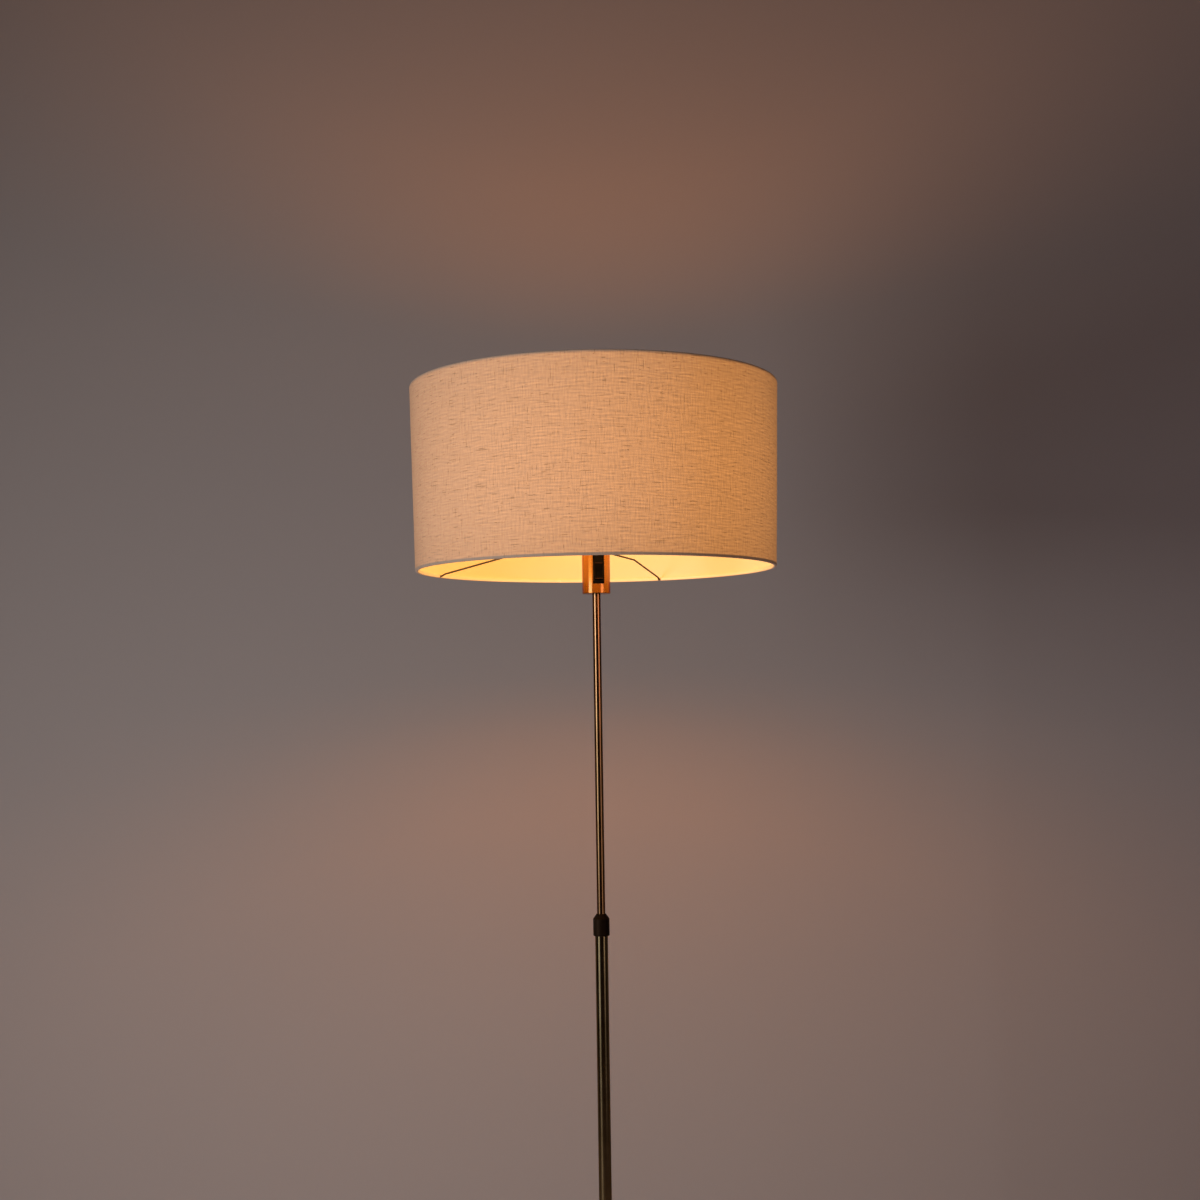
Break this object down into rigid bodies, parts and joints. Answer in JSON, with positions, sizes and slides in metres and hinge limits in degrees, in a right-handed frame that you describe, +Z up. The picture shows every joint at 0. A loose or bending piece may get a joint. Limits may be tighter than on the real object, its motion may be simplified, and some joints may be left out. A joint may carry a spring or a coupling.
{
  "type": "telescopic floor lamp",
  "caption": "Slim floor lamp with a wide linen drum shade on a wire spider, a slotted cup with a rocker switch, and a telescopic mast clamped by a twist collar on a round weighted base.",
  "frame": {"origin": "centre of the base on the floor, on the mast's axis", "axes": "+Z up along the mast; the rocker switch faces -Y; +X to the right seen from the switch side"},
  "size_m": [0.4999, 0.5, 1.65],
  "materials": {
    "felt": "soft felt",
    "cast_iron": "black primer",
    "bronze": "fine brushed bronze, lacquered",
    "bronze_dark": "brushed, darkened bronze, lacquered",
    "bronze_wire": "bronze lacquer on wire",
    "black_plastic": "matt",
    "black_gloss": "satin",
    "black_collar": "satin",
    "zinc_steel": "bright zinc",
    "brass": "turned",
    "nylon": "natural nylon",
    "white_plastic": "satin",
    "aluminium": "plain",
    "nickel": "nickel plated",
    "liner": "smooth styrene, lit from inside",
    "linen": "plain linen weave with slubs",
    "opal": "opal, lit"
  },
  "bodies": {
    "stand": {"base_pad": "felt", "base_weight": "cast_iron", "base_cover": "bronze", "cord_gland": "black_plastic", "base_nipple": "zinc_steel", "base_washer": "zinc_steel", "base_nut": "zinc_steel", "foot_insert": "zinc_steel", "lower_tube": "bronze_dark", "top_ferrule": "brass"},
    "collet": {"collet": "nylon"},
    "collar": {"clamp_collar": "black_collar"},
    "slider": {"guide_bush": "nylon"},
    "head": {"upper_tube": "bronze", "stop_ring_lower": "zinc_steel", "stop_ring_upper": "zinc_steel", "tube_nipple": "zinc_steel", "holder_cup": "bronze", "cup_nut": "zinc_steel", "holder_base": "black_plastic", "holder_lock_screw": "zinc_steel", "terminal_screws": "zinc_steel", "holder_skirt": "black_plastic", "screw_shell": "brass", "centre_contact": "brass", "switch_housing": "black_plastic", "shade_ring": "black_plastic", "bulb_globe": "opal", "bulb_collar": "white_plastic", "led_board": "aluminium", "bulb_cap": "nickel", "bulb_insulator": "black_gloss", "bulb_contact": "zinc_steel", "shade_fabric": "linen", "shade_liner": "liner", "top_ring": "bronze_wire", "bottom_ring": "bronze_wire", "spider_hub": "bronze_wire", "spider_arm_1": "bronze_wire", "spider_arm_2": "bronze_wire", "spider_arm_3": "bronze_wire", "spider_arm_4": "bronze_wire"},
    "rocker": {"rocker": "black_gloss"}
  },
  "joints": [
    {"name": "telescope", "type": "slide", "parent": "stand", "child": "slider", "axis": [0, 0, 1], "range_m": [-0.42, 0.2]},
    {"name": "head_swivel", "type": "hinge", "parent": "slider", "child": "head", "pos_m": [0, 0, 0.6735], "axis": [0, 0, 1], "range_deg": [-170, 170]},
    {"name": "collar_lift", "type": "slide", "parent": "stand", "child": "collet", "axis": [0, 0, 1], "range_m": [0, 0.0011]},
    {"name": "collar_twist", "type": "hinge", "parent": "collet", "child": "collar", "pos_m": [0, 0, 0.9237], "axis": [0, 0, 1], "range_deg": [0, 180]},
    {"name": "rocker_press", "type": "hinge", "parent": "head", "child": "rocker", "pos_m": [0, -0.0145, 1.3974], "axis": [1, 0, 0], "range_deg": [0, 16]}
  ],
  "couplings": [
    {"joint": "collar_lift", "follows": "collar_twist", "m_per_rad": 0.00031831}
  ]
}
